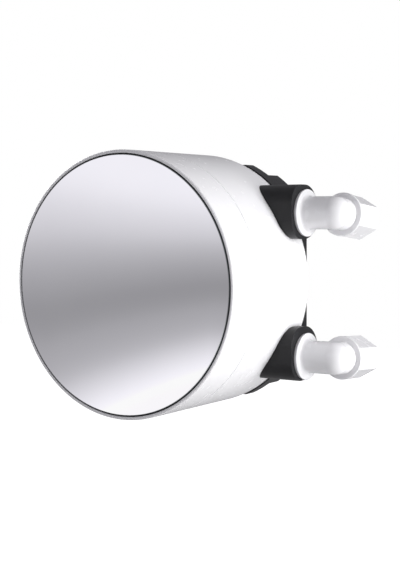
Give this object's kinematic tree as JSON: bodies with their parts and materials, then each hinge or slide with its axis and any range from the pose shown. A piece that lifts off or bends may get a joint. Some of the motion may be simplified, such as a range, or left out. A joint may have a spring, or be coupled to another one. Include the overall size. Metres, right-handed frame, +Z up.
{
  "type": "extendable shaving mirror",
  "caption": "Round wall-mounted shaving mirror in a deep drum whose head pulls out on a scissor, tilts and swivels, with swivel pipe elbows at the side.",
  "frame": {"origin": "centre of the wall plate's back face, where it meets the wall", "axes": "+Z up; +Y into the wall; -Y towards the user, along the mirror's axis; +X to the user's right, where the fittings are"},
  "size_m": [0.2517, 0.158, 0.2072],
  "materials": {
    "mirror": "polished silvered glass",
    "white_plastic": "gloss",
    "black_plastic": "satin, fine grain",
    "steel": "brushed",
    "plated_steel": "zinc plated",
    "nylon": "natural nylon",
    "rubber": "matt"
  },
  "bodies": {
    "housing": {"drum_shell": "white_plastic", "rear_plate": "black_plastic", "back_cover": "black_plastic", "wall_plate": "black_plastic", "plate_screws": "plated_steel", "wall_plate_screws": "plated_steel", "base_rail": "steel", "base_rail_screws": "plated_steel", "rear_pivot_shaft": "plated_steel", "upper_bracket": "black_plastic", "upper_bearing_cap": "black_plastic", "upper_swivel_bush": "nylon", "lower_bracket": "black_plastic", "lower_bearing_cap": "black_plastic", "lower_swivel_bush": "nylon", "bracket_screws": "plated_steel"},
    "rear_arm_a": {"rear_arms_a": "steel", "rear_centre_shaft": "plated_steel", "lower_mid_shaft": "plated_steel"},
    "rear_arm_b": {"rear_arms_b": "steel", "upper_mid_shaft": "plated_steel", "rear_slider_shaft": "plated_steel", "rear_rollers": "nylon"},
    "front_arm_b": {"front_arms_b": "steel", "front_centre_shaft": "plated_steel"},
    "front_arm_a": {"front_arms_a": "steel", "front_slider_shaft": "plated_steel", "front_rollers": "nylon"},
    "head": {"head_ring": "white_plastic", "head_plate": "black_plastic", "head_plate_screws": "plated_steel", "gimbal_fork": "steel", "gimbal_fork_screws": "plated_steel", "front_rail": "steel", "front_rail_screws": "plated_steel", "front_pivot_shaft": "plated_steel"},
    "gimbal": {"gimbal_cross": "steel"},
    "mirror": {"mirror_glass": "mirror", "mirror_pad": "rubber", "mirror_tray": "black_plastic", "tray_fork": "steel", "tray_fork_screws": "plated_steel"},
    "upper_elbow": {"upper_elbow": "white_plastic", "upper_o_ring": "rubber", "upper_retaining_clip": "plated_steel", "upper_union_tail": "white_plastic", "upper_sealing_washer": "rubber"},
    "upper_nut": {"upper_union_nut": "white_plastic"},
    "lower_elbow": {"lower_elbow": "white_plastic", "lower_o_ring": "rubber", "lower_retaining_clip": "plated_steel", "lower_union_tail": "white_plastic", "lower_sealing_washer": "rubber"},
    "lower_nut": {"lower_union_nut": "white_plastic"}
  },
  "joints": [
    {"name": "extension", "type": "hinge", "parent": "housing", "child": "rear_arm_a", "pos_m": [0, -0.0618, 0.06932], "axis": [-1, 0, 0], "range_deg": [0, 42]},
    {"name": "rear_centre_pivot", "type": "hinge", "parent": "rear_arm_a", "child": "rear_arm_b", "pos_m": [0, -0.07154, 0], "axis": [-1, 0, 0], "range_deg": [-84, 0]},
    {"name": "lower_mid_pivot", "type": "hinge", "parent": "rear_arm_a", "child": "front_arm_b", "pos_m": [0, -0.08128, -0.06932], "axis": [-1, 0, 0], "range_deg": [-84, 0]},
    {"name": "front_centre_pivot", "type": "hinge", "parent": "front_arm_b", "child": "front_arm_a", "pos_m": [0, -0.09103, 0], "axis": [-1, 0, 0], "range_deg": [0, 84]},
    {"name": "head_pivot", "type": "hinge", "parent": "front_arm_b", "child": "head", "pos_m": [0, -0.10077, 0.06932], "axis": [-1, 0, 0], "range_deg": [0, 42]},
    {"name": "mirror_swivel", "type": "hinge", "parent": "head", "child": "gimbal", "pos_m": [0, -0.1465, 0], "axis": [0, 0, 1], "range_deg": [-10, 10]},
    {"name": "mirror_tilt", "type": "hinge", "parent": "gimbal", "child": "mirror", "pos_m": [0, -0.1465, 0], "axis": [1, 0, 0], "range_deg": [-10, 10]},
    {"name": "upper_elbow_swivel", "type": "hinge", "parent": "housing", "child": "upper_elbow", "pos_m": [0.1032, -0.055, 0.0548], "axis": [1, 0, 0], "range_deg": [-20, 95]},
    {"name": "upper_nut_spin", "type": "hinge", "parent": "upper_elbow", "child": "upper_nut", "pos_m": [0.131, -0.03178, 0.05236], "axis": [0, 0.9945, -0.1045], "continuous": true},
    {"name": "lower_elbow_swivel", "type": "hinge", "parent": "housing", "child": "lower_elbow", "pos_m": [0.1032, -0.055, -0.0582], "axis": [1, 0, 0], "range_deg": [-95, 20]},
    {"name": "lower_nut_spin", "type": "hinge", "parent": "lower_elbow", "child": "lower_nut", "pos_m": [0.131, -0.03171, -0.05983], "axis": [0, 0.9976, -0.0698], "continuous": true}
  ],
  "couplings": [
    {"joint": "rear_centre_pivot", "follows": "extension", "ratio": -2},
    {"joint": "lower_mid_pivot", "follows": "extension", "ratio": -2},
    {"joint": "front_centre_pivot", "follows": "extension", "ratio": 2},
    {"joint": "head_pivot", "follows": "extension", "ratio": 1}
  ]
}
